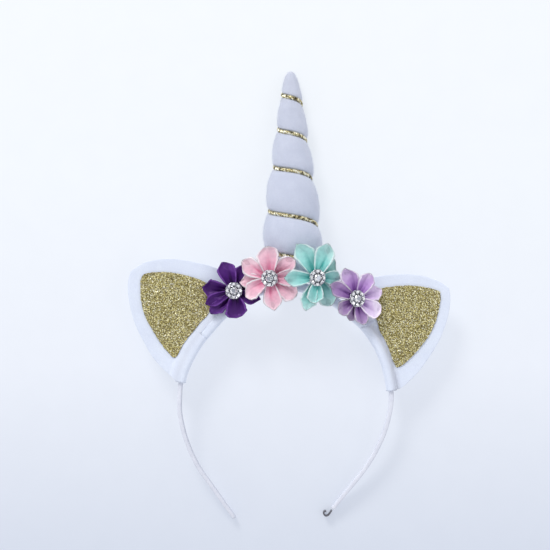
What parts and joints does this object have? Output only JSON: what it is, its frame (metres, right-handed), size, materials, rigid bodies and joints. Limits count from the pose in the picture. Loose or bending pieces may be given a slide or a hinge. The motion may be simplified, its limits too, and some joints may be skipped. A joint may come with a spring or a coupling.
{
  "type": "unicorn horn headband",
  "caption": "Costume headband for a child: a ribbon-wrapped band with felt ears, a stuffed spiral horn wound with gold cord, and satin flowers with rhinestone buttons",
  "frame": {"origin": "the middle of the crown's inner side, where the headband rests on the top of a head", "axes": "it lies on its back: +Y along the horn to its tip, the front with its flowers faces up to +Z, +X to the right as seen from the front"},
  "size_m": [0.1943, 0.2763, 0.0458],
  "materials": {
    "ribbon_white": "white satin ribbon wound round the steel strip in flat overlapping turns",
    "bare_steel": "dark bare steel",
    "felt_white": "matt white felt with a short nap",
    "glitter_gold": "cloth coated with coarse gold glitter",
    "horn_plush": "short soft plush, pale lavender grey",
    "gold_cord": "twisted metallic gold cord",
    "purple_satin": "deep purple satin ribbon",
    "pink_satin": "pale pink satin ribbon",
    "mint_satin": "mint satin ribbon",
    "lilac_satin": "lilac satin ribbon",
    "silver_setting": "bright silver cup set with small cut stones",
    "crystal_stone": "clear cut crystal"
  },
  "bodies": {
    "root": {"ribbon_wrapped_band": "ribbon_white", "bare_steel_end": "bare_steel", "crown_felt_sleeve": "felt_white", "left_ear_felt": "felt_white", "right_ear_felt": "felt_white", "left_ear_glitter": "glitter_gold", "right_ear_glitter": "glitter_gold", "stuffed_horn": "horn_plush", "horn_gold_cord": "gold_cord", "purple_petal_1": "purple_satin", "purple_petal_2": "purple_satin", "purple_petal_3": "purple_satin", "purple_petal_4": "purple_satin", "purple_petal_5": "purple_satin", "purple_petal_6": "purple_satin", "purple_petal_7": "purple_satin", "purple_petal_8": "purple_satin", "purple_button_setting": "silver_setting", "purple_centre_stone": "crystal_stone", "pink_petal_1": "pink_satin", "pink_petal_2": "pink_satin", "pink_petal_3": "pink_satin", "pink_petal_4": "pink_satin", "pink_petal_5": "pink_satin", "pink_petal_6": "pink_satin", "pink_petal_7": "pink_satin", "pink_petal_8": "pink_satin", "pink_button_setting": "silver_setting", "pink_centre_stone": "crystal_stone", "mint_petal_1": "mint_satin", "mint_petal_2": "mint_satin", "mint_petal_3": "mint_satin", "mint_petal_4": "mint_satin", "mint_petal_5": "mint_satin", "mint_petal_6": "mint_satin", "mint_petal_7": "mint_satin", "mint_petal_8": "mint_satin", "mint_button_setting": "silver_setting", "mint_centre_stone": "crystal_stone", "lilac_petal_1": "lilac_satin", "lilac_petal_2": "lilac_satin", "lilac_petal_3": "lilac_satin", "lilac_petal_4": "lilac_satin", "lilac_petal_5": "lilac_satin", "lilac_petal_6": "lilac_satin", "lilac_petal_7": "lilac_satin", "lilac_petal_8": "lilac_satin", "lilac_button_setting": "silver_setting", "lilac_centre_stone": "crystal_stone"}
  },
  "joints": []
}
